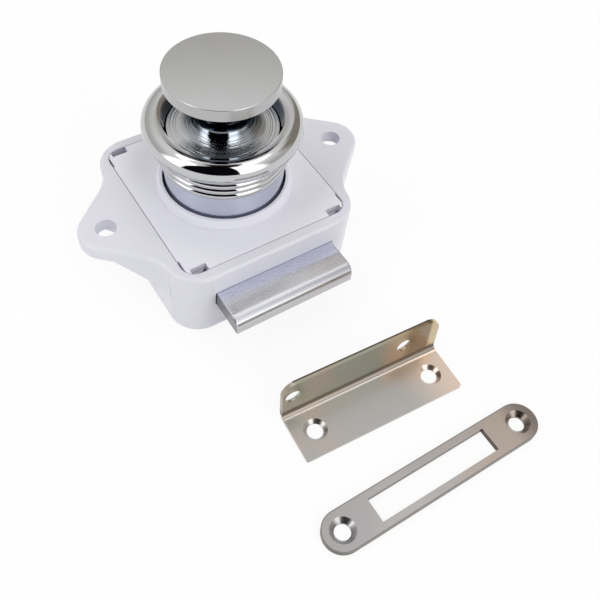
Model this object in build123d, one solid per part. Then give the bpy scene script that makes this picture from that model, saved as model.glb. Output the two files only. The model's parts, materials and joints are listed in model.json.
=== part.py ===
from build123d import *
from math import acos, atan2, cos, degrees, hypot, pi, radians, sin, sqrt, tan
import os

# Push-button latch for a cupboard or camper door, with its two strikes, in millimetres.
# X runs toward the right ear, Y away from the bolt's nose and Z up along the knob's axis.
# The origin is on the knob's axis, level with the face of the case that lies on the door.
# Everything is drawn with the knob out and the bolt forward.

# Running clearances
knob_gap = 0.08
boss_gap = 0.05
cover_gap = 0.15
slot_side_gap = 0.15
slide_gap = 0.1
stem_gap = 0.2
stem_end_gap = 0.4
cam_pin_gap = 0.05
coil_gap = 0.35
coil_end_gap = 0.2
seat_gap = 0.1
nut_gap = 0.2
bolt_headroom = 1.1
rear_room = 0.3
hold_rib_gap = 0.2

# How far a cut runs past the faces that it opens
overrun = 1.0

# Case: a moulded box, open on top, that narrows a little toward its floor
case_width = 43.8
case_length = 44.8
case_depth = 19.3
case_corner = 7.5
case_foot_corner = 6.75
side_lean = 0.25
end_lean = 1.4
case_floor = 1.8
mouth_round = 0.7
foot_round = 1.0
rim_side = 2.55
rim_end = 2.5
ledge_side = 0.6
ledge_end = 1.35
cavity_corner = 1.5

# Ears that screw the case to the door
ear_reach = 5.85
ear_tip_radius = 5.95
ear_thickness = 3.0
ear_hole = 4.5
ear_seat = 8.6
ear_flare = 9.0
ear_flare_turn = 8.5
ear_ramp_start = 7.6
ear_ramp_depth = 9.4

# Rails, ribs and spring post inside the case
rail_thickness = 1.6
rail_above_bolt = 0.9
rail_inset = 1.6
rib_thickness = 1.4
rib_place = 9.0
rib_drop = 3.0
post_radius = 1.6
post_height = 5.0

# Cover: a plate that snaps into the mouth of the case
cover_thickness = 2.0
cover_corner = 3.0
cover_bore = 13.3
boss_height = 2.5
boss_foot = 14.6
boss_land = 0.8
boss_rim = 13.9
notch_inset = 1.2
notch_width = 3.6
notch_depth = 1.75
pry_slit = 0.35
pry_slit_length = 3.3
pry_slit_inset = 1.4
hold_rib_thickness = 2.1
hold_rib_length = 6.2
snap_width = 2.4
snap_thickness = 1.1
snap_length = 5.4
snap_barb = 0.9
snap_barb_height = 1.3
snap_pocket_depth = 1.2
snap_relief = 2.4

# Collar that clamps the door from its front
door_thickness = 14.1
lip_tube = 2.55
lip_centre = 13.8
lip_mouth = 12.4
lip_cone_depth = 3.2
collar_neck = 13.3
collar_neck_length = 1.7
thread_crest = 13.6
thread_root = 13.25
thread_pitch = 1.4
thread_count = 3
sleeve_radius = 12.85
collar_bore = 11.45
nut_radius = 15.5
nut_height = 2.9
nut_notch_width = 3.0
nut_notch_depth = 1.2
nut_notch_count = 6

# Knob: a disc on a waisted neck, over a skirt that slides in the collar
skirt_height = 11.0
knob_waist = 4.5
knob_land = 0.03
waist_height = 19.5
neck_end_height = 21.3
disc_radius = 11.5
disc_thickness = 2.5
disc_edge = 0.25
disc_underside_height = 21.9
knob_bore = 9.9
knob_bore_depth = 7.4

# Plunger under the knob, and the screw that joins them
flange_radius = 11.25
flange_thickness = 1.4
stem_width = 10.4
stem_length = 8.0
flange_lift = 0.6
screw_radius = 1.5
screw_head_radius = 2.75
screw_head_height = 2.5
screw_seat_lift = 1.9
screw_depth = 6.6
screw_tip_room = 1.0
socket_across = 2.5
socket_depth = 1.3

# Cam pins in the stem, and the slots that they run in
cam_pin_radius = 1.1
cam_pin_root = 1.9
cheek_above_bolt = 0.8
cheek_thickness = 2.8
cheek_front = 5.0
cheek_rear = 3.0
cam_pin_drop = 2.4
cam_slot_floor = 0.45

# Bolt and its carrier
bolt_width = 28.4
bolt_thickness = 4.0
bolt_withdrawal = 0.2
nose_round = 2.2
edge_round = 0.3
front_bar = 1.8
rivet_radius = 1.0
rivet_head_radius = 1.5
rivet_head_height = 0.6
rivet_inset = 2.9
side_rivet_place = 6.5
rivet_length = 8.5

# Wound springs
knob_spring_radius = 2.3
knob_spring_wire = 0.65
knob_spring_turns = 8
bolt_spring_radius = 2.05
bolt_spring_wire = 0.55
bolt_spring_turns = 9
bolt_spring_bore_depth = 12.0
spring_pin_radius = 1.45
spring_pin_length = 5.4
spring_pin_root = 1.8

# Angle strike: a folded plate, its upright leg a little past square
angle_length = 37.4
angle_thickness = 1.0
angle_foot = 10.7
angle_leg = 10.4
angle_lean = 3.0
angle_bend = 1.2
angle_corner = 3.2
angle_foot_corner = 0.4
angle_hole = 3.4
foot_sink = 5.0
leg_sink = 4.4
foot_hole_inset = 4.7
foot_hole_place = 5.45
leg_hole_left_inset = 2.35
leg_hole_right_inset = 8.7
leg_hole_height = 6.2
angle_yaw = -3.4
angle_place_x = 5.05
angle_place_y = -48.78

# Flat strike: a plate with a slot that the bolt enters
strike_length = 52.0
strike_width = 8.44
strike_thickness = 1.5
strike_slot_gap = 0.2
strike_slot_width = 5.2
strike_hole = 3.3
strike_sink = 5.3
strike_hole_inset = 4.2
strike_place_x = 5.67
strike_place_y = -73.39

# Heights and half sizes that follow from the sizes above
floor_top = case_floor - case_depth
carrier_bottom = floor_top + slide_gap
nut_bottom = -cover_thickness - nut_height
collar_bottom = nut_bottom + nut_gap
bolt_top = nut_bottom - bolt_headroom
carrier_top = bolt_top - bolt_thickness
cheek_top = bolt_top + cheek_above_bolt
cam_pin_height = cheek_top - cam_pin_drop
cam_slot_half_width = cam_pin_radius + cam_pin_gap
travel = cam_pin_height - cam_slot_half_width - cam_slot_floor - carrier_bottom
flange_bottom = cheek_top + flange_lift + travel
knob_bottom = flange_bottom + flange_thickness
stem_bottom = carrier_bottom + travel
cover_width = case_width - 2 * (rim_side + cover_gap)
cover_length = case_length - 2 * (rim_end + cover_gap)
cavity_x = cover_width / 2 - ledge_side
cavity_y = cover_length / 2 - ledge_end
ear_x = case_width / 2 + ear_reach
rail_x = bolt_width / 2 + slide_gap
rail_top = bolt_top + rail_above_bolt
stem_x = stem_width / 2
stem_y = stem_length / 2
channel_x = stem_x + stem_gap
channel_front = -stem_y - travel - stem_end_gap
channel_rear = stem_y + stem_end_gap
carrier_front = channel_front - front_bar
carrier_rear = cavity_y - travel - rear_room
cheek_x = channel_x + cheek_thickness
nose_y = -case_length / 2 - travel + bolt_withdrawal
notch_x = cover_width / 2 - notch_inset - notch_width
snap_x = notch_x + (notch_width - snap_width) / 2
boss_radius = knob_bore - boss_gap
knob_bore_top = knob_bottom + knob_bore_depth
head_seat = flange_bottom + screw_seat_lift
bolt_spring_bore = bolt_spring_radius + bolt_spring_wire / 2 + coil_gap
knob_spring_bore = screw_head_radius + seat_gap
bolt_spring_x = (cheek_x + bolt_width / 2) / 2
bolt_spring_height = (carrier_bottom + carrier_top) / 2
bolt_spring_front = carrier_rear - bolt_spring_bore_depth


def span(x0, x1, y0, y1, z0, z1):
    """A box between two values on each axis."""
    middle = Pos((x0 + x1) / 2, (y0 + y1) / 2, (z0 + z1) / 2)
    return middle * Box(abs(x1 - x0), abs(y1 - y0), abs(z1 - z0))


def rod(radius, z0, z1, x=0, y=0):
    """An upright cylinder between two heights."""
    return Pos(x, y, (z0 + z1) / 2) * Cylinder(radius, z1 - z0)


def rod_along_x(radius, x0, x1, y, z):
    return Pos((x0 + x1) / 2, y, z) * Rot(0, 90, 0) * Cylinder(radius, abs(x1 - x0))


def rod_along_y(radius, y0, y1, x, z):
    return Pos(x, (y0 + y1) / 2, z) * Rot(90, 0, 0) * Cylinder(radius, abs(y1 - y0))


def turned(outline):
    """A solid turned about Z from the lines and arcs of its half section, as (radius, height)."""
    edges = [edge for piece in outline for edge in piece.edges()]
    return revolve(Plane.XZ * make_face(edges), Axis.Z)


def mirrored_x(solid):
    return mirror(solid, about=Plane.YZ)


def both_sides(solid):
    return [solid, mirrored_x(solid)]


def four_corners(solid):
    """The solid and its copies mirrored to the other three quarters of the case."""
    pair = both_sides(solid)
    return pair + [mirror(half, about=Plane.XZ) for half in pair]


def ear_outline():
    """The right ear seen from above: a round tip, two straight flanks and two hollow flares."""
    corner = Vector(case_width / 2 - case_corner, case_length / 2 - case_corner)
    tip = Vector(ear_x, 0)
    turn = radians(ear_flare_turn)
    flare = corner + Vector(cos(turn), sin(turn)) * (case_corner + ear_flare)
    to_flare = flare - tip
    spread = acos((ear_tip_radius + ear_flare) / to_flare.length)
    flank = atan2(to_flare.Y, to_flare.X) - spread
    normal = Vector(cos(flank), sin(flank))
    touch = corner + (flare - corner).normalized() * case_corner
    tip_arc = CenterArc(tip, ear_tip_radius, -degrees(flank), 2 * degrees(flank))
    flank_line = Line(tip + normal * ear_tip_radius, flare - normal * ear_flare)
    sweep_angle = degrees(turn) - degrees(flank)
    flare_arc = CenterArc(flare, ear_flare, degrees(flank) + 180, sweep_angle)
    root = Line(touch, Vector(corner.X, touch.Y))
    upper = [flank_line, flare_arc, root]
    lower = [mirror(edge, about=Plane.XZ) for edge in upper]
    close = Line(Vector(corner.X, touch.Y), Vector(corner.X, -touch.Y))
    return make_face(Curve() + [tip_arc, *upper, *lower, close])


def right_ear():
    """The ear is a plate near its tip and thickens on a ramp toward the case."""
    blank = extrude(ear_outline(), -ear_ramp_depth)
    inner = case_width / 2 - case_corner
    outer = ear_x + 2 * ear_tip_radius
    side = Polyline(
        (inner, 0),
        (outer, 0),
        (outer, -ear_thickness),
        (case_width / 2 + ear_ramp_start, -ear_thickness),
        (case_width / 2, -ear_ramp_depth),
        (inner, -ear_ramp_depth),
        close=True,
    )
    ramp = extrude(Plane.XZ * make_face(side), case_length / 2, both=True)
    ear = blank & ramp
    top = ear.faces().sort_by(Axis.Z)[-1].edges()
    outside = [edge for edge in top if edge.center().X > inner + case_corner / 2]
    return fillet(outside, mouth_round)


def case_blank():
    """The outside of the case, lofted from its mouth down to its smaller foot."""
    mouth = RectangleRounded(case_width, case_length, case_corner)
    foot_width = case_width - 2 * side_lean
    foot_length = case_length - 2 * end_lean
    foot = Pos(0, 0, -case_depth) * RectangleRounded(foot_width, foot_length, case_foot_corner)
    body = loft([foot, mouth], ruled=True)
    body = fillet(body.faces().sort_by(Axis.Z)[0].edges(), foot_round)
    body = fillet(body.faces().sort_by(Axis.Z)[-1].edges(), mouth_round)
    return body + both_sides(right_ear())


def case_ribs():
    """Rails beside the carrier, each tied to the side wall by two cross ribs."""
    rail_end = cavity_y - rail_inset
    rail = span(rail_x, rail_x + rail_thickness, -rail_end, rail_end, floor_top, rail_top)
    rib_top = rail_top - rib_drop
    rib_end = rib_place + rib_thickness
    rib = span(rail_x + rail_thickness, cavity_x, rib_place, rib_end, floor_top, rib_top)
    ribs = rail + rib + mirror(rib, about=Plane.XZ)
    return both_sides(ribs)


def snap_pockets():
    """In each end wall, a slot down from the mouth and a blind pocket that holds the cover's barb."""
    slot_low = -cover_thickness - snap_relief
    slot = span(notch_x, notch_x + notch_width, cavity_y, cover_length / 2, slot_low, -cover_thickness)
    barb_high = -cover_thickness - snap_length + snap_barb_height + cover_gap
    barb_low = -cover_thickness - snap_length - cover_gap
    pocket_end = cavity_y + snap_pocket_depth
    pocket_x = snap_x - cover_gap
    pocket_width = snap_width + 2 * cover_gap
    pocket = span(pocket_x, pocket_x + pocket_width, cavity_y, pocket_end, barb_low, barb_high)
    return four_corners(slot + pocket)


def case():
    body = case_blank()
    mouth_corner = cover_corner + cover_gap
    recess_width = cover_width + 2 * cover_gap
    recess_length = cover_length + 2 * cover_gap
    body -= extrude(RectangleRounded(recess_width, recess_length, mouth_corner), -cover_thickness)
    body -= extrude(RectangleRounded(2 * cavity_x, 2 * cavity_y, cavity_corner), floor_top)
    slot_x = bolt_width / 2 + slot_side_gap
    front = -case_length / 2 - overrun
    slot_bottom = carrier_top - slide_gap
    body -= span(-slot_x, slot_x, front, -cavity_y, slot_bottom, bolt_top + slide_gap)
    body -= snap_pockets()
    body += case_ribs()
    body += rod(post_radius, floor_top, floor_top + post_height)
    below = -ear_ramp_depth - overrun
    hole = rod(ear_hole / 2, below, overrun, ear_x)
    seat = rod(ear_seat / 2, below, -ear_thickness, ear_x)
    body -= both_sides(hole + seat)
    root = rod_along_y(spring_pin_radius, cavity_y, cavity_y + spring_pin_root, bolt_spring_x,
                       bolt_spring_height)
    body -= both_sides(root)
    return body


def snap_tab():
    """A tab below the cover, with a barb that catches in the pocket of the end wall."""
    face = cavity_y - snap_thickness - cover_gap
    tip = -cover_thickness - snap_length
    side = Polyline(
        (face, -cover_thickness),
        (face + snap_thickness, -cover_thickness),
        (face + snap_thickness, tip + snap_barb_height),
        (face + snap_thickness + snap_barb, tip + snap_barb_height),
        (face + snap_thickness, tip),
        (face, tip),
        close=True,
    )
    profile = Plane.YZ * make_face(side)
    return Pos(snap_x, 0, 0) * extrude(profile, snap_width)


def cover():
    """A plate with a coned boss round the collar's hole, notched above each snap tab."""
    plate = extrude(RectangleRounded(cover_width, cover_length, cover_corner), -cover_thickness)
    boss = turned([Polyline(
        (0, -cover_thickness / 2),
        (boss_foot, -cover_thickness / 2),
        (boss_foot, boss_land),
        (boss_rim, boss_height),
        (0, boss_height),
        close=True,
    )])
    rib_bottom = bolt_top + slide_gap
    rib_inner = bolt_width / 2 - seat_gap - hold_rib_thickness
    rib_end = cavity_y - hold_rib_gap
    rib = span(rib_inner, rib_inner + hold_rib_thickness, rib_end - hold_rib_length, rib_end,
               rib_bottom, -cover_thickness)
    body = plate + boss + four_corners(rib) + four_corners(snap_tab())
    notch = span(notch_x, notch_x + notch_width, cover_length / 2 - notch_depth, cover_length,
                 -cover_thickness, overrun)
    slit_end = cover_length / 2 - pry_slit_inset
    slit = span(cover_width / 2 - pry_slit, cover_width, slit_end - pry_slit_length, slit_end,
                -cover_thickness, overrun)
    body -= four_corners(notch)
    body -= four_corners(slit)
    return body - rod(cover_bore, -cover_thickness - overrun, boss_height + overrun)


def thread_ridges():
    """The ridges of the collar's coarse thread, from the lowest up, as arcs between their roots."""
    top = door_thickness - collar_neck_length
    bottom = top - thread_count * thread_pitch
    arcs = []
    for ridge in range(thread_count):
        low = bottom + ridge * thread_pitch
        start = (thread_root, low)
        crest = (thread_crest, low + thread_pitch / 2)
        end = (thread_root, low + thread_pitch)
        arcs.append(ThreePointArc(start, crest, end))
    return arcs, bottom, top


def collar():
    """A rounded lip in front of the door, and a ridged sleeve that passes through it."""
    ridges, ridge_bottom, ridge_top = thread_ridges()
    drop = sqrt(lip_tube ** 2 - (lip_centre - collar_neck) ** 2)
    lip_height = door_thickness + lip_tube
    rise = sqrt(lip_tube ** 2 - (lip_centre - lip_mouth) ** 2)
    underside = (collar_neck, lip_height - drop)
    mouth = (lip_mouth, lip_height + rise)
    outer = (lip_centre + lip_tube, lip_height)
    return turned([
        Line((collar_bore, collar_bottom), (sleeve_radius, collar_bottom)),
        Line((sleeve_radius, collar_bottom), (sleeve_radius, ridge_bottom)),
        Line((sleeve_radius, ridge_bottom), (thread_root, ridge_bottom)),
        *ridges,
        Line((thread_root, ridge_top), (collar_neck, ridge_top)),
        Line((collar_neck, ridge_top), underside),
        ThreePointArc(underside, outer, mouth),
        Line(mouth, (collar_bore, mouth[1] - lip_cone_depth)),
        Line((collar_bore, mouth[1] - lip_cone_depth), (collar_bore, collar_bottom)),
    ])


def sleeve_nut():
    """The ring under the cover that the collar screws into, with notches for a spanner."""
    ring = rod(nut_radius, nut_bottom, -cover_thickness)
    ring -= rod(sleeve_radius, nut_bottom - overrun, -cover_thickness + overrun)
    notch = span(sleeve_radius - overrun, nut_radius + overrun, -nut_notch_width / 2,
                 nut_notch_width / 2, nut_bottom - overrun, nut_bottom + nut_notch_depth)
    step = 360 / nut_notch_count
    ring -= [Rot(0, 0, (count + 0.5) * step) * notch for count in range(nut_notch_count)]
    return ring


def knob():
    """One turned piece: the disc, the waisted neck, and the hollow skirt that slides in the collar."""
    skirt = collar_bore - knob_gap
    rim = skirt - knob_land
    skirt_top = knob_bottom + skirt_height
    waist = knob_bottom + waist_height
    reach = rim - knob_waist
    flare = (reach ** 2 + (waist - skirt_top) ** 2) / (2 * reach)
    neck_end = knob_bottom + neck_end_height
    neck = knob_waist + flare - sqrt(flare ** 2 - (neck_end - waist) ** 2)
    underside = knob_bottom + disc_underside_height
    under_round = underside - neck_end
    under_middle = under_round * (1 - sqrt(0.5))
    top = underside + disc_thickness
    edge_middle = disc_edge * (1 - sqrt(0.5))
    solid = turned([
        Line((0, knob_bottom), (skirt, knob_bottom)),
        Line((skirt, knob_bottom), (skirt, skirt_top)),
        Line((skirt, skirt_top), (rim, skirt_top)),
        ThreePointArc((rim, skirt_top), (knob_waist, waist), (neck, neck_end)),
        ThreePointArc((neck, neck_end), (neck + under_middle, underside - under_middle),
                      (neck + under_round, underside)),
        Line((neck + under_round, underside), (disc_radius, underside)),
        Line((disc_radius, underside), (disc_radius, top - disc_edge)),
        ThreePointArc((disc_radius, top - disc_edge), (disc_radius - edge_middle, top - edge_middle),
                      (disc_radius - disc_edge, top)),
        Line((disc_radius - disc_edge, top), (0, top)),
        Line((0, top), (0, knob_bottom)),
    ])
    solid -= rod(knob_bore, knob_bottom - overrun, knob_bore_top)
    screw_end = knob_bore_top + screw_depth + screw_tip_room
    return solid - rod(screw_radius, knob_bore_top - overrun, screw_end)


def plunger():
    """The moulding under the knob: a round boss and flange above, a square stem below."""
    body = rod(boss_radius, flange_bottom, knob_bore_top)
    body += rod(flange_radius, flange_bottom, knob_bottom)
    body += span(-stem_x, stem_x, -stem_y, stem_y, stem_bottom, flange_bottom)
    body -= rod(knob_spring_bore, stem_bottom - overrun, head_seat)
    body -= rod(screw_radius, head_seat - overrun, knob_bore_top + overrun)
    pin_hole = rod_along_x(cam_pin_radius, stem_x - cam_pin_root, stem_x + overrun, 0, cam_pin_height)
    return body - both_sides(pin_hole)


def knob_screw():
    """The screw up the plunger's spring bore into the knob, with a hexagon socket in its head."""
    low = head_seat - screw_head_height
    head = rod(screw_head_radius, low, head_seat)
    shank = rod(screw_radius, head_seat, knob_bore_top + screw_depth)
    hexagon = RegularPolygon(socket_across / 2, 6, major_radius=False)
    return head + shank - extrude(Pos(0, 0, low) * hexagon, socket_depth)


def cam_pin():
    return rod_along_x(cam_pin_radius, stem_x - cam_pin_root, cheek_x, 0, cam_pin_height)


def cam_slot():
    """A slot at 45 degrees, as long as the travel both ways, open toward the stem."""
    width = 2 * cam_slot_half_width
    start = (0, cam_pin_height)
    end = (-travel, cam_pin_height - travel)
    length = travel * sqrt(2)
    middle = ((start[0] + end[0]) / 2, (start[1] + end[1]) / 2)
    outline = Pos(*middle) * Rot(0, 0, 45) * SlotCenterToCenter(length, width)
    return Pos(stem_x, 0, 0) * extrude(Plane.YZ * outline, cheek_x + slot_side_gap - stem_x)


def rivet_places():
    side = bolt_width / 2 - rivet_inset
    rear = (channel_rear + carrier_rear) / 2
    return {
        "rivet_left": (-side, -side_rivet_place),
        "rivet_right": (side, -side_rivet_place),
        "rivet_rear": (0, rear),
    }


def rivet(place):
    """A countersunk rivet, flush with the top of the bolt."""
    shank = rod(rivet_radius, bolt_top - rivet_length, bolt_top - rivet_head_height)
    head = Pos(0, 0, bolt_top - rivet_head_height / 2)
    head = head * Cone(rivet_radius, rivet_head_radius, rivet_head_height)
    return Pos(*place) * (shank + head)


def bolt():
    """The bolt: a plate with a rounded nose, and a window for the cheeks of its carrier."""
    half = bolt_width / 2
    plate = span(-half, half, nose_y, carrier_rear, carrier_top, bolt_top)
    front = plate.faces().sort_by(Axis.Y)[0]
    plate = fillet(front.edges().sort_by(Axis.Z)[-1], nose_round)
    sides = plate.faces().sort_by(Axis.X)[0].edges() + plate.faces().sort_by(Axis.X)[-1].edges()
    plate = fillet([edge for edge in sides if edge.center().Z > carrier_top + edge_round], edge_round)
    window = cheek_x + cam_pin_gap
    plate -= span(-window, window, channel_front - slide_gap, channel_rear + slide_gap,
                  carrier_top - overrun, bolt_top + overrun)
    for place in rivet_places().values():
        plate -= rivet(place)
    return plate


def bolt_carrier():
    """The moulded slide under the bolt, with the cam slots and two spring bores."""
    half = bolt_width / 2
    body = span(-half, half, carrier_front, carrier_rear, carrier_bottom, carrier_top)
    body -= span(-channel_x, channel_x, channel_front, channel_rear, carrier_bottom - overrun,
                 carrier_top + overrun)
    cheek = span(channel_x, cheek_x, -cheek_front, cheek_rear, carrier_top, cheek_top)
    body += both_sides(cheek)
    body -= both_sides(cam_slot())
    bore = rod_along_y(bolt_spring_bore, bolt_spring_front, carrier_rear + overrun, bolt_spring_x,
                       bolt_spring_height)
    body -= both_sides(bore)
    for place in rivet_places().values():
        body -= rivet(place)
    return body


def quarter_arcs(start, start_way, end, end_way):
    """Two arcs that leave one point and reach another along the given directions."""
    chord = end - start
    ways = start_way + end_way
    square = 2 * (1 - start_way.dot(end_way))
    along = chord.dot(ways)
    reach = (sqrt(along ** 2 + square * chord.dot(chord)) - along) / square
    first = start + start_way * reach
    second = end - end_way * reach
    joint = (first + second) * 0.5
    arcs = []
    for low, knee, high in ((start, first, joint), (joint, second, end)):
        foot = (low + high) * 0.5
        half = (high - low).length / 2
        rise = half * tan(acos(half / reach) / 2)
        arcs.append(ThreePointArc(low, foot + (knee - foot).normalized() * rise, high))
    return arcs


def wound_spring(name, radius, wire, turns, low, high):
    """An upright coil of round wire between two heights, as one tube along biarcs of a quarter turn."""
    pitch = (high - low - wire) / turns
    slope = pitch / (2 * pi)
    base = low + wire / 2

    def point(angle):
        return Vector(radius * cos(angle), radius * sin(angle), base + slope * angle)

    def way(angle):
        return Vector(-radius * sin(angle), radius * cos(angle), slope).normalized()

    edges = []
    quarters = 4 * turns
    for quarter in range(quarters):
        begin = quarter * pi / 2
        finish = begin + pi / 2
        edges += quarter_arcs(point(begin), way(begin), point(finish), way(finish))
    first = point(0)
    last = point(quarters * pi / 2)
    edges.insert(0, Line(first - way(0) * wire, first))
    edges.append(Line(last, last + way(quarters * pi / 2) * wire))
    path = Wire(edges)
    print(name, "least gap between its turns", round(least_gap(path, pitch, wire), 3))
    section = Plane(origin=path @ 0, z_dir=path % 0) * Circle(wire / 2)
    return sweep(section, path=path)


def least_gap(path, pitch, wire):
    """The least gap of the coil to itself, between points that lie over half a turn apart."""
    length = path.length
    samples = 300
    points = [path @ (step / samples) for step in range(samples + 1)]
    near = 2 * pitch
    least = length
    for index, one in enumerate(points):
        for later in range(index + 1, len(points)):
            if (later - index) * length / samples > near:
                least = min(least, (points[later] - one).length)
    return least - wire


def knob_spring():
    low = floor_top + coil_end_gap
    high = head_seat - screw_head_height - coil_end_gap
    return wound_spring("knob_spring", knob_spring_radius, knob_spring_wire, knob_spring_turns, low, high)


def bolt_spring():
    """The right bolt spring, wound upright and then laid along Y in its bore."""
    length = cavity_y - bolt_spring_front - 2 * coil_end_gap
    coil = wound_spring("bolt_spring", bolt_spring_radius, bolt_spring_wire, bolt_spring_turns, 0, length)
    place = Pos(bolt_spring_x, cavity_y - coil_end_gap, bolt_spring_height)
    return place * Rot(90, 0, 0) * coil


def spring_pin():
    """A pin pressed into the rear wall, which keeps the bolt spring straight."""
    start = cavity_y - spring_pin_length
    end = cavity_y + spring_pin_root
    return rod_along_y(spring_pin_radius, start, end, bolt_spring_x, bolt_spring_height)


def countersunk_hole(hole, sink, thickness):
    """A hole down from the origin through a plate, with a cone for a flat screw head."""
    depth = (sink - hole) / 2
    cone = Pos(0, 0, -depth / 2) * Cone(hole / 2, sink / 2, depth)
    return cone + rod(hole / 2, -thickness - overrun, overrun)


def angle_strike():
    """The folded strike, drawn with the corner of its two inner faces at the origin."""
    lean = radians(angle_lean)
    up = Vector(sin(lean), cos(lean))
    out = Vector(cos(lean), -sin(lean))
    leg_top = up * angle_leg
    knee = angle_thickness * tan((pi / 2 - lean) / 2)
    section = make_face(Polyline(
        (-angle_foot, 0),
        (0, 0),
        leg_top,
        leg_top + out * angle_thickness,
        (knee, -angle_thickness),
        (-angle_foot, -angle_thickness),
        close=True,
    ))
    half = angle_length / 2
    body = Pos(-half, 0, 0) * extrude(Plane.YZ * section, angle_length)
    folds = body.edges().filter_by(Axis.X).sort_by(lambda edge: abs(edge.center().Y) + abs(edge.center().Z))
    body = fillet(folds[0], angle_bend)
    outer = body.edges().filter_by(Axis.X).sort_by(
        lambda edge: hypot(edge.center().Y - knee, edge.center().Z + angle_thickness))
    body = fillet(outer[0], angle_bend + angle_thickness)
    leg_end = body.faces().sort_by(Axis.Z)[-1]
    body = fillet(leg_end.edges().sort_by(SortBy.LENGTH)[:2], angle_corner)
    foot_end = body.faces().sort_by(Axis.Y)[0]
    body = fillet(foot_end.edges().sort_by(SortBy.LENGTH)[:2], angle_foot_corner)
    foot_hole = countersunk_hole(angle_hole, foot_sink, angle_thickness)
    foot_hole_x = half - foot_hole_inset
    body -= [Pos(side * foot_hole_x, -foot_hole_place, 0) * foot_hole for side in (-1, 1)]
    leg_hole = countersunk_hole(angle_hole, leg_sink, angle_thickness)
    back = up * leg_hole_height + out * angle_thickness
    for along in (leg_hole_left_inset - half, half - leg_hole_right_inset):
        body -= Pos(along, back.X, back.Y) * Rot(-90 - angle_lean, 0, 0) * leg_hole
    base = Pos(angle_place_x, angle_place_y, angle_thickness - case_depth)
    return base * Rot(0, 0, angle_yaw) * body


def flat_strike():
    """A plate with round ends, countersunk at each end, and a slot that the bolt fits."""
    outline = SlotOverall(strike_length, strike_width)
    body = extrude(outline, strike_thickness)
    slot_x = bolt_width / 2 + strike_slot_gap
    slot_y = strike_slot_width / 2
    body -= span(-slot_x, slot_x, -slot_y, slot_y, -overrun, strike_thickness + overrun)
    hole = Pos(0, 0, strike_thickness) * countersunk_hole(strike_hole, strike_sink, strike_thickness)
    place = strike_length / 2 - strike_hole_inset
    body -= [Pos(side * place, 0, 0) * hole for side in (-1, 1)]
    return Pos(strike_place_x, strike_place_y, -case_depth) * body


def parts():
    """Every piece of the latch by its name."""
    pin = cam_pin()
    spring = bolt_spring()
    guide = spring_pin()
    pieces = {
        "case": case(),
        "cover": cover(),
        "collar": collar(),
        "sleeve_nut": sleeve_nut(),
        "knob": knob(),
        "plunger": plunger(),
        "knob_screw": knob_screw(),
        "knob_spring": knob_spring(),
        "cam_pin_right": pin,
        "cam_pin_left": mirrored_x(pin),
        "bolt": bolt(),
        "bolt_carrier": bolt_carrier(),
        "bolt_spring_right": spring,
        "bolt_spring_left": mirrored_x(spring),
        "spring_pin_right": guide,
        "spring_pin_left": mirrored_x(guide),
        "angle_strike": angle_strike(),
        "flat_strike": flat_strike(),
    }
    for name, place in rivet_places().items():
        pieces[name] = rivet(place)
    return pieces


os.makedirs("parts", exist_ok=True)
for name, piece in parts().items():
    export_step(piece, f"parts/{name}.step")
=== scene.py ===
import json
import bmesh
import bpy
from math import acos, atan2, cos, degrees, pi, radians, sin, sqrt
from mathutils import Matrix, Vector


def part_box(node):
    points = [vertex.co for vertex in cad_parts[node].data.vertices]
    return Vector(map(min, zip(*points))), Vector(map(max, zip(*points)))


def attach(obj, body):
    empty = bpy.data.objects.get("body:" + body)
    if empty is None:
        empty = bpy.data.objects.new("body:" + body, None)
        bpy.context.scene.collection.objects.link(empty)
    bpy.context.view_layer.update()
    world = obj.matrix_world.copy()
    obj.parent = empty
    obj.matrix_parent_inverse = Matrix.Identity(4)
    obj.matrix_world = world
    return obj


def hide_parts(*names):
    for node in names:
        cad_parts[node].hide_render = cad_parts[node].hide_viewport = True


# Push-button latch with its two strikes, dressed for a studio picture.
# Lengths are in metres, except where a comment says millimetres.

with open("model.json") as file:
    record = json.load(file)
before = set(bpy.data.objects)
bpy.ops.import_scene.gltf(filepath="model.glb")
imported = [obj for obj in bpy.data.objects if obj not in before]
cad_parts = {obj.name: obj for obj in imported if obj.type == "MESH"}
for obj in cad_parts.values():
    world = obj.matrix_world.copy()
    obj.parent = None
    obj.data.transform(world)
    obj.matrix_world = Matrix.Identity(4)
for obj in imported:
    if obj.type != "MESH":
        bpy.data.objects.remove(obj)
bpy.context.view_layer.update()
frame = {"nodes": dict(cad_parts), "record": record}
nodes = frame["nodes"]

MM = 0.001

# Places read from the frame
knob_low, knob_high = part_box("knob")
case_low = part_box("case")[0]
bolt_low, bolt_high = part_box("bolt")
flat_low, flat_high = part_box("flat_strike")
floor_height = case_low.z

# Camera, fitted to the circles and corners of the latch in the photograph
camera_azimuth = radians(-37.351)
camera_elevation = radians(54.513)
camera_roll = radians(6.147)
camera_distance = 0.168036
camera_right = 0.016474
camera_up = -0.02609
focal_pixels = 770.329
image_pixels = 600
sensor_width = 36.0

# Floor, and how far it glows where it is seen
floor_half_width = 2.5
floor_grey = 0.95
floor_glow = 0.88

# Knob from the side, in millimetres: its neck turns into a flare that ends in a flat cone
knob_skirt = 11.37
knob_bore = 9.9
knob_bore_height = 7.4
screw_hole = 1.5
screw_hole_end = 15.0
knob_rim = 11.34
knob_rim_height = 11.0
knob_neck = 5.2
flare_round = 4.2
flare_height = 15.5
neck_end_height = 21.3
disc_under_height = 21.9
disc_radius = 11.5
disc_edge = 0.12
turn_steps = 192
sharp_angle = radians(28)

# Share of the light that each chrome surface gives back, as red, green and blue
chrome_share = (0.545, 0.55, 0.56)
# The sleeve's bluer share is a painted reflection of the white case round it
sleeve_reflection_share = (0.6, 0.63, 0.72, 1)
# The mouth's dark share is painted shade
mouth_shade_share = (0.1, 0.13, 0.18, 1)
# The darker shares of the flare and its grooves are painted shade
flare_shade_share = (0.36, 0.39, 0.43, 1)
groove_shade_share = (0.22, 0.25, 0.29, 1)
disc_side_share = (0.48, 0.48, 0.485, 1)

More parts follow.
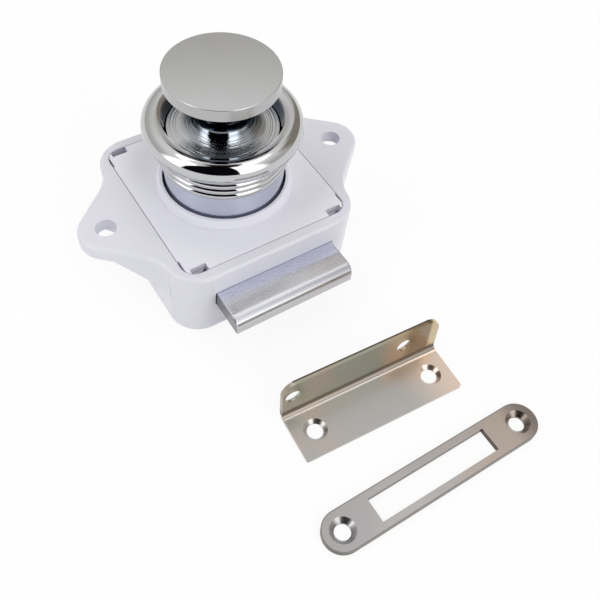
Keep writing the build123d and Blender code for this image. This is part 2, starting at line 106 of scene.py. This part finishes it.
# How far the chrome's cloud moves its share up and down, and the strength of the large lights
chrome_cloud = 0.04
softbox_strength = 2.9

# Where one look fades into the next, as the two ends of each fade in millimetres.
# Collar: top of the plain sleeve, below which a reflection of the white case is painted, and the wall
# of the mouth and its foot, which bound the painted shade inside the mouth
sleeve_top = (7.9, 8.2)
mouth_wall = (12.15, 12.4)
mouth_foot = (14.5, 15.5)

# Knob: lower and upper end of the turned rings and the painted shade on them, where the painted shade
# lifts, and the disc's side
rings_foot = (15.5, 16.2)
rings_top = (26.2, 26.8)
flare_shade_lift = (6.0, 8.8)
disc_foot = (26.6, 26.8)
disc_side = (11.4, 11.46)
rings_per_metre = 2600
ring_depth = 0.08 * MM

# Bolt: its darker right half and the painted reflection of the white case, then how far below its top
# the painted shade on the nose starts and gives way to its bright band, where the nose ends and
# painted shade below it starts, and how far in the painted shade of its left end reaches
bolt_right = (-6.0, 13.0)
case_reflection_edge = (-25.2, -24.4)
case_reflection_slope = 0.035
nose_start = (0.02, 0.1)
nose_shade_end = (0.7, 1.0)
nose_end = (2.1, 2.25)
bolt_end = (0.03, 0.08)

# Flat strike: its warm half, its far end, its holes, where the painted shade of its walls starts, and
# the band of painted shade along the rims of its stamped edges
flat_warm = (-5.0, 20.0)
flat_far_end = (24.0, 31.0)
flat_hole_place = 21.8 * MM
flat_hole = (2.8, 2.9)
flat_wall_shade = (-0.12, -0.06)
flat_rim_shade = (-0.28, -0.14)

# Angle strike: the turn it lies at, the top of its foot, the fold and the painted shade in it, and the
# brown patch on its leg
angle_turn = 0.0594
angle_foot_top = -18.3 * MM
fold_start = (0.03, 0.1)
fold_shade_deep = (0.4, 0.8)
fold_end = (1.2, 2.6)
leg_start = (0.9, 2.5)
foot_right = (10.0, 24.0)
leg_right = (8.5, 14.0)
brown_patch_left = (14.5, 17.5)
brown_patch_right = (21.2, 22.2)
leg_top = (-8.1, -8.0)
leg_back = (-47.35, -47.25)


def add_camera():
    a, e, r = camera_azimuth, camera_elevation, camera_roll
    back = Vector((sin(a) * cos(e), -cos(a) * cos(e), sin(e)))
    level = Vector((0, 0, 1)).cross(back).normalized()
    upright = back.cross(level)
    right = level * cos(r) + upright * sin(r)
    up = upright * cos(r) - level * sin(r)
    place = back * camera_distance + right * camera_right + up * camera_up
    turn = Matrix((right, up, back)).transposed().to_4x4()
    data = bpy.data.cameras.new("camera")
    data.sensor_width = sensor_width
    data.lens = focal_pixels * sensor_width / image_pixels
    data.clip_start = 0.005
    data.clip_end = 20
    camera = bpy.data.objects.new("camera", data)
    camera.matrix_world = Matrix.Translation(place) @ turn
    bpy.context.scene.collection.objects.link(camera)
    bpy.context.scene.camera = camera


def arc(centre, radius, start, end, steps=24):
    """Points on an arc in the half section. Angle 0 points away from the axis and 90 up."""
    angles = [radians(start + (end - start) * step / steps) for step in range(steps + 1)]
    return [(centre[0] + radius * cos(angle), centre[1] + radius * sin(angle)) for angle in angles]


def turned(name, outline, node):
    """A chrome piece turned about the knob's axis from its half section, in the place of a node."""
    shape = bmesh.new()
    points = [shape.verts.new((radius * MM, 0, height * MM)) for radius, height in outline]
    lines = [shape.edges.new(pair) for pair in zip(points, points[1:])]
    bmesh.ops.spin(shape, geom=points + lines, cent=(0, 0, 0), axis=(0, 0, 1), dvec=(0, 0, 0),
                   angle=2 * pi, steps=turn_steps, use_merge=True, use_duplicate=False)
    bmesh.ops.remove_doubles(shape, verts=shape.verts, dist=0.001 * MM)
    bmesh.ops.recalc_face_normals(shape, faces=shape.faces)
    for face in shape.faces:
        face.smooth = True
    for edge in shape.edges:
        edge.smooth = edge.calc_face_angle(0) < sharp_angle
    mesh = bpy.data.meshes.new(name)
    shape.to_mesh(mesh)
    shape.free()
    piece = bpy.data.objects.new(name, mesh)
    bpy.context.scene.collection.objects.link(piece)
    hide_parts(node)
    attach(piece, "button")
    return piece


def add_knob():
    """The knob: a disc on a neck, whose flare mirrors the underside of the disc."""
    low = knob_low.z / MM
    top = knob_high.z / MM
    bore_end = low + knob_bore_height
    rim = low + knob_rim_height
    centre = (knob_neck + flare_round, low + flare_height)
    # The cone leaves the rim on the line that just touches the flare's arc
    across, down = knob_rim - centre[0], rim - centre[1]
    touch = atan2(down, across) - acos(flare_round / sqrt(across ** 2 + down ** 2))
    underside = low + disc_under_height
    under_round = disc_under_height - neck_end_height
    outline = [
        (0, low + screw_hole_end),
        (screw_hole, low + screw_hole_end),
        (screw_hole, bore_end),
        (knob_bore, bore_end),
        (knob_bore, low),
        (knob_skirt, low),
        (knob_skirt, rim),
        (knob_rim, rim),
        *arc(centre, flare_round, degrees(touch), -180, 40),
        *arc((knob_neck + under_round, underside - under_round), under_round, 180, 90, 8),
        (disc_radius, underside),
        *arc((disc_radius - disc_edge, top - disc_edge), disc_edge, 0, 90, 6),
        (0, top),
    ]
    return turned("knob_turned", outline, "knob")


class Value:
    """A shader socket that can be used in plain arithmetic."""

    def __init__(self, graph, socket):
        self.graph = graph
        self.socket = socket

    def math(self, operation, *others):
        return self.graph.node("Math", {"operation": operation}, dict(enumerate((self, *others))))

    def __add__(self, other):
        return self.math("ADD", other)

    def __mul__(self, other):
        return self.math("MULTIPLY", other)

    def __sub__(self, other):
        return self.math("SUBTRACT", other)

    def __rsub__(self, other):
        return self.graph.node("Math", {"operation": "SUBTRACT"}, {0: other, 1: self})

    def __pow__(self, other):
        return self.math("POWER", other)

    __radd__ = __add__
    __rmul__ = __mul__

    def size(self):
        return self.math("ABSOLUTE")

    def between(self, low, high):
        """0 below low, 1 above high, and smooth in between."""
        sockets = {"Value": self, "From Min": low, "From Max": high, "To Min": 0.0, "To Max": 1.0}
        return self.graph.node("MapRange", {"interpolation_type": "SMOOTHSTEP"}, sockets)

    def past(self, fade):
        """0 before a place and 1 past it, with a fade whose two ends are given in millimetres."""
        return self.between(fade[0] * MM, fade[1] * MM)


def distance(across, along):
    return (across * across + along * along) ** 0.5


class Graph:
    """A node tree with short ways to add nodes."""

    def __init__(self, tree):
        self.tree = tree

    def node(self, kind, settings=None, sockets=None, output=0):
        made = self.tree.nodes.new("ShaderNode" + kind)
        for name, value in (settings or {}).items():
            setattr(made, name, value)
        for key, value in (sockets or {}).items():
            if isinstance(value, Value):
                self.tree.links.new(value.socket, made.inputs[key])
            else:
                made.inputs[key].default_value = value
        return Value(self, made.outputs[output])

    def mix(self, factor, first, second):
        settings = {"data_type": "RGBA"}
        return self.node("Mix", settings, {0: factor, 6: first, 7: second}, output=2)


class Finish(Graph):
    """One material: a principled shader and the nodes that vary it."""

    def __init__(self, name, **constants):
        self.material = bpy.data.materials.new(name)
        self.material.use_nodes = True
        super().__init__(self.material.node_tree)
        self.shader = self.tree.nodes["Principled BSDF"]
        for socket, value in constants.items():
            self.shader.inputs[socket.replace("_", " ")].default_value = value
        self.place = self.node("TexCoord", output="Object")

    def feed(self, **sockets):
        for socket, value in sockets.items():
            self.tree.links.new(value.socket, self.shader.inputs[socket.replace("_", " ")])

    def noise(self, scale, detail, stretch=None):
        at = self.place
        if stretch:
            at = self.node("Mapping", sockets={"Vector": at, "Scale": stretch})
        return self.node("TexNoise", sockets={"Vector": at, "Scale": scale, "Detail": detail})

    def part(self, axis):
        return self.node("SeparateXYZ", sockets={"Vector": self.place}, output=axis)

    def rough(self, pattern, low, high):
        """Roughness that follows a pattern from low to high."""
        self.feed(Roughness=pattern * (high - low) + low)

    def bump(self, height, strength, distance):
        sockets = {"Height": height, "Strength": strength, "Distance": distance}
        self.feed(Normal=self.node("Bump", sockets=sockets))


def tone(red, green, blue):
    """A colour written as it looks on screen, from 0 to 255, as the shader's linear values."""
    def linear(value):
        value = value / 255
        return value / 12.92 if value <= 0.04045 else ((value + 0.055) / 1.055) ** 2.4
    return (linear(red), linear(green), linear(blue), 1)


def mirrored(red, green, blue):
    """The room's light behind a colour that is written as it looks in the chrome."""
    shown = tone(red, green, blue)
    return tuple(value / share for value, share in zip(shown, chrome_share)) + (1,)


def white_plastic(name, first, second):
    """Glossy moulded plastic with a faint lavender cast and a soft skin."""
    finish = Finish(name, IOR=1.46)
    cloud = finish.noise(scale=90, detail=3)
    skin = finish.noise(scale=900, detail=2)
    finish.feed(Base_Color=finish.mix(cloud, tone(*first), tone(*second)))
    finish.rough(skin, 0.26, 0.34)
    finish.bump(skin, strength=0.06, distance=0.1 * MM)
    return finish.material


def dark_plastic():
    finish = Finish("dark_plastic", IOR=1.45)
    grain = finish.noise(scale=1500, detail=3)
    finish.feed(Base_Color=finish.mix(grain, tone(36, 35, 37), tone(48, 46, 47)))
    finish.rough(grain, 0.38, 0.53)
    finish.bump(grain, strength=0.15, distance=0.1 * MM)
    return finish.material


def carrier_plastic():
    finish = Finish("carrier_plastic", IOR=1.48)
    grain = finish.noise(scale=700, detail=3)
    finish.feed(Base_Color=finish.mix(grain, tone(214, 213, 206), tone(224, 223, 217)))
    finish.rough(grain, 0.4, 0.55)
    return finish.material


def chrome_finish(name):
    """Polished chrome, before anything that marks it: its finish, its cloud and its colour."""
    finish = Finish(name, Metallic=1.0)
    cloud = finish.noise(scale=60, detail=2)
    light = tuple(share * (1 + chrome_cloud) for share in chrome_share) + (1,)
    dark = tuple(share * (1 - chrome_cloud) for share in chrome_share) + (1,)
    return finish, cloud, finish.mix(cloud, dark, light)


def collar_chrome():
    """Chrome with a painted reflection of the white case, a little bluer, on the plain sleeve, and
    painted shade inside the mouth.
    """
    finish, cloud, colour = chrome_finish("collar_chrome")
    height = finish.part(2)
    radius = distance(finish.part(0), finish.part(1))
    # Painted reflection of the white case on the plain sleeve
    colour = finish.mix(1 - height.past(sleeve_top), colour, sleeve_reflection_share)
    # Painted shade inside the mouth
    mouth_shade = (1 - radius.past(mouth_wall)) * height.past(mouth_foot)
    finish.feed(Base_Color=finish.mix(mouth_shade, colour, mouth_shade_share))
    finish.rough(cloud, 0.03, 0.06)
    return finish.material


def knob_chrome():
    """Chrome over fine turned rings on the knob's flare, with painted shade on the flare that is
    deeper in the rings and lifts toward the rim, and satin on the side of its disc.
    """
    finish, _, colour = chrome_finish("knob_chrome")
    height = finish.part(2)
    radius = distance(finish.part(0), finish.part(1))
    rings = finish.node("TexNoise", {"noise_dimensions": "1D"},
                        {"W": radius * rings_per_metre, "Scale": 1.0, "Detail": 3.0, "Roughness": 0.6})
    # Painted shade over the flare, deepest by the neck, lifting toward the rim, and deeper in the
    # grooves of the rings
    flare = height.past(rings_foot) * (1 - height.past(rings_top))
    dark = flare * (1 - radius.past(flare_shade_lift) * 0.85)
    colour = finish.mix(dark, colour, flare_shade_share)
    colour = finish.mix(dark * rings.between(0.35, 0.65), colour, groove_shade_share)
    side = radius.past(disc_side) * height.past(disc_foot)
    finish.feed(Base_Color=finish.mix(side, colour, disc_side_share))
    finish.rough(side, 0.045, 0.265)
    finish.bump(rings * flare, strength=1.0, distance=ring_depth)
    return finish.material


def steel(name, first, second, low, high):
    """Plated steel with a fine grain along X."""
    finish = Finish(name, Metallic=1.0)
    grain = finish.noise(scale=180, detail=4, stretch=(1, 40, 40))
    cloud = finish.noise(scale=120, detail=3)
    finish.feed(Base_Color=finish.mix(cloud, tone(*first), tone(*second)))
    finish.rough(grain, low, high)
    finish.bump(grain, strength=0.05, distance=0.05 * MM)
    return finish.material


def bolt_nickel():
    """Satin nickel, darker toward the right, with a painted reflection of the white case and painted
    shade round the bolt's nose, below it and on its left end.
    """
    finish = Finish("satin_nickel", Metallic=1.0)
    place, depth, height = [finish.part(axis) for axis in range(3)]
    grain = finish.noise(scale=180, detail=4, stretch=(1, 40, 40))
    cloud = finish.noise(scale=120, detail=3)
    colour = finish.mix(cloud, tone(208, 208, 213), tone(214, 214, 218))
    colour = finish.mix(place.past(bolt_right), colour, tone(182, 180, 182))
    # Painted reflection of the white case on the bolt's top next to the case
    glow = (depth + place * case_reflection_slope).past(case_reflection_edge)
    colour = finish.mix(glow, colour, tone(212, 214, 229))
    drop = bolt_high.z - height
    # Painted shade in a band just below the top, over the nose's rounding
    nose_shade = drop.past(nose_start) * (1 - drop.past(nose_shade_end))
    colour = finish.mix(nose_shade, colour, tone(158, 159, 164))
    # Painted shade on everything lower than the nose's end, such as the front
    colour = finish.mix(drop.past(nose_end), colour, tone(194, 192, 194))
    # Painted shade on the bolt's left end
    end = 1 - (place - bolt_low.x).past(bolt_end)
    finish.feed(Base_Color=finish.mix(end, colour, tone(132, 130, 136)))
    finish.rough(grain, 0.25, 0.3)
    finish.bump(grain, strength=0.02, distance=0.05 * MM)
    return finish.material


def nickel(name):
    """Thin nickel over steel, with a rolled grain: its finish, and the cloud of its tint."""
    finish = Finish(name, Metallic=1.0)
    grain = finish.noise(scale=160, detail=4, stretch=(1, 30, 30))
    finish.rough(grain, 0.24, 0.34)
    finish.bump(grain, strength=0.05, distance=0.05 * MM)
    return finish, finish.noise(scale=75, detail=2).between(0.38, 0.62)


def flat_nickel():
    """Grey nickel that turns warm to the right, with painted shade on its walls and along the rims of
    its stamped edges.
    """
    finish, cloud = nickel("flat_nickel")
    place, depth, height = [finish.part(axis) for axis in range(3)]
    grey = finish.mix(cloud, tone(158, 158, 161), tone(166, 163, 162))
    warm = finish.mix(cloud, tone(163, 155, 149), tone(166, 154, 145))
    colour = finish.mix(place.past(flat_warm), grey, warm)
    colour = finish.mix(place.past(flat_far_end), colour, tone(122, 113, 107))
    middle = (flat_low + flat_high) / 2
    half_width = (flat_high.y - flat_low.y) / 2
    across = (place - middle.x).size() - flat_hole_place
    along = depth - middle.y
    # Painted shade on the walls of the slot and the outline, not in the holes
    wall_shade = 1 - (height - flat_high.z).past(flat_wall_shade)
    outside_hole = distance(across, along).past(flat_hole)
    colour = finish.mix(wall_shade * outside_hole, colour, tone(84, 77, 72))
    # The outline has straight sides between the holes and round ends beyond them
    beyond = across.math("MAXIMUM", 0.0)
    rim = (distance(beyond, along) - half_width).past(flat_rim_shade)
    # Painted shade along the rims of the top face
    finish.feed(Base_Color=finish.mix(rim * (1 - wall_shade), colour, tone(128, 123, 119)))
    return finish.material


def angle_nickel():
    """The upright leg is darker and greener than the foot, a painted reflection of darker
    surroundings, and brown toward its right end; painted shade lies in the fold and on the leg's top
    edge.
    """
    finish, cloud = nickel("angle_nickel")
    place, depth, height = [finish.part(axis) for axis in range(3)]
    rise = height - angle_foot_top
    foot = finish.mix(cloud, tone(170, 168, 166), tone(180, 168, 160))
    foot = finish.mix(place.past(foot_right), foot, tone(216, 197, 182))
    # Painted shade in the fold, deeper a little above its start
    fold_shade = rise.past(fold_start) * (1 - rise.past(fold_end))
    foot = finish.mix(fold_shade, foot, tone(134, 126, 117))
    foot = finish.mix(fold_shade * rise.past(fold_shade_deep), foot, tone(112, 102, 91))
    # The leg's darker, greener tones are a painted reflection of darker surroundings
    leg = finish.mix(cloud, tone(158, 162, 147), tone(170, 160, 145))
    leg = finish.mix(place.past(leg_right), leg, tone(182, 164, 136))
    # A brown patch on the leg, and a lighter beige part past it
    brown_patch = place.past(brown_patch_left) * (1 - place.past(brown_patch_right))
    leg = finish.mix(brown_patch, leg, tone(140, 122, 98))
    leg = finish.mix(place.past(brown_patch_right), leg, tone(205, 186, 150))
    colour = finish.mix(rise.past(leg_start), foot, leg)
    # Painted shade on the leg's top edge
    edge = height.past(leg_top) * (depth + place * angle_turn).past(leg_back)
    finish.feed(Base_Color=finish.mix(edge, colour, tone(90, 82, 72)))
    return finish.material


def dress_nodes():
    """Give every node the finish of its slot, or one of its own."""
    finishes = {
        "chrome": collar_chrome(),
        "satin_nickel": bolt_nickel(),
        "nickel_plate": flat_nickel(),
        "black_plastic": dark_plastic(),
        "carrier_plastic": carrier_plastic(),
        "spring_steel": steel("spring_steel", (150, 150, 152), (165, 165, 167), 0.2, 0.3),
        "zinc_steel": steel("zinc_steel", (180, 181, 184), (190, 192, 196), 0.25, 0.35),
        "rivet_steel": steel("rivet_steel", (170, 168, 165), (180, 178, 176), 0.25, 0.35),
    }
    own = {
        "case": white_plastic("case_plastic", (217, 217, 227), (222, 222, 231)),
        # The cover's tone is lighter than the case's: painted light that evens out the shade the
        # collar and knob cast on it
        "cover": white_plastic("cover_plastic", (229, 229, 239), (233, 233, 242)),
        "angle_strike": angle_nickel(),
    }
    for row in frame["record"]["subparts"]:
        node = nodes[row["node"]]
        node.data.materials.clear()
        node.data.materials.append(own.get(row["node"]) or finishes[row["material_slot"]])


class Sky(Graph):
    """The room, painted by direction. Azimuth 0 is in front of the bolt and 90 on its right."""

    def __init__(self):
        world = bpy.data.worlds.new("studio")
        world.use_nodes = True
        super().__init__(world.node_tree)
        bpy.context.scene.world = world
        way = self.node("TexCoord", output="Generated")
        sides = [self.node("SeparateXYZ", sockets={"Vector": way}, output=axis) for axis in range(3)]
        across, along, rise = sides
        self.azimuth = across.math("ARCTAN2", along * -1.0) * (180 / pi)
        self.elevation = rise.math("ARCSINE") * (180 / pi)

    def panel(self, left, right, low, high):
        """1 inside a patch of the room and 0 outside it. Each edge fades between a pair of angles."""
        wide = self.azimuth.between(*left) * (1 - self.azimuth.between(*right))
        tall = self.elevation.between(*low) * (1 - self.elevation.between(*high))
        return wide * tall


def room_panels():
    """Left, right, lower and upper edge of each panel and its light, in the order of painting."""
    softbox = (softbox_strength,) * 3 + (1,)
    far_left, far_right = (-200, -190), (200, 210)
    down, up = (-110, -100), (100, 110)
    return [
        (far_left, far_right, (-20, 20), up, mirrored(160, 159, 157)),
        (far_left, far_right, (25, 58), up, mirrored(198, 198, 198)),
        # Brown wall on the right, and a lit strip above the left side
        ((60, 80), (122, 135), down, (42, 56), mirrored(118, 113, 104)),
        (far_left, (-98, -90), (59, 62), (67, 70), softbox),
        # Dark ceiling, and a light below it on the right
        (far_left, far_right, (74, 82), up, mirrored(24, 16, 17)),
        ((26, 40), (98, 118), (58, 66), (76, 81), softbox),
        # Dark gap between the two large lights in front
        ((-86, -80), (-10, -6), down, (88, 90), mirrored(8, 7, 9)),
        ((-118, -98), (-86, -80), down, (60, 66), softbox),
        ((-10, -6), (14, 36), down, (70, 78), softbox),
        # Plain white wall round the floor
        (far_left, far_right, down, (7, 10), (1, 1, 1, 1)),
    ]


def add_world():
    sky = Sky()
    room = mirrored(168, 163, 154)
    for *edges, light in room_panels():
        room = sky.mix(sky.panel(*edges), room, light)
    background = sky.tree.nodes["Background"]
    sky.tree.links.new(room.socket, background.inputs["Color"])


def add_floor():
    """A pale floor that glows where it is seen, directly or in metal, and keeps the latch's shadow."""
    mesh = bpy.data.meshes.new("floor")
    shape = bmesh.new()
    bmesh.ops.create_grid(shape, x_segments=1, y_segments=1, size=floor_half_width)
    bmesh.ops.translate(shape, verts=shape.verts, vec=(0, 0, floor_height))
    shape.to_mesh(mesh)
    shape.free()
    floor = bpy.data.objects.new("floor", mesh)
    bpy.context.scene.collection.objects.link(floor)
    finish = Finish("floor", Base_Color=(floor_grey, floor_grey, floor_grey, 1), Roughness=0.9)
    kinds = ("Camera", "Glossy", "Transmission")
    rays = [finish.node("LightPath", output=f"Is {kind} Ray") for kind in kinds]
    seen = rays[0].math("MAXIMUM", rays[1]).math("MAXIMUM", rays[2])
    glow = finish.node("Emission", sockets={"Color": (1, 1, 1, 1), "Strength": 1.0})
    blend = finish.node("MixShader", sockets={0: seen * floor_glow})
    mixer = blend.socket.node
    finish.tree.links.new(finish.shader.outputs[0], mixer.inputs[1])
    finish.tree.links.new(glow.socket, mixer.inputs[2])
    output = finish.tree.nodes["Material Output"]
    finish.tree.links.new(blend.socket, output.inputs["Surface"])
    mesh.materials.append(finish.material)


add_camera()
add_world()
add_floor()
dress_nodes()
add_knob().data.materials.append(knob_chrome())
bpy.context.scene.view_settings.view_transform = "Standard"
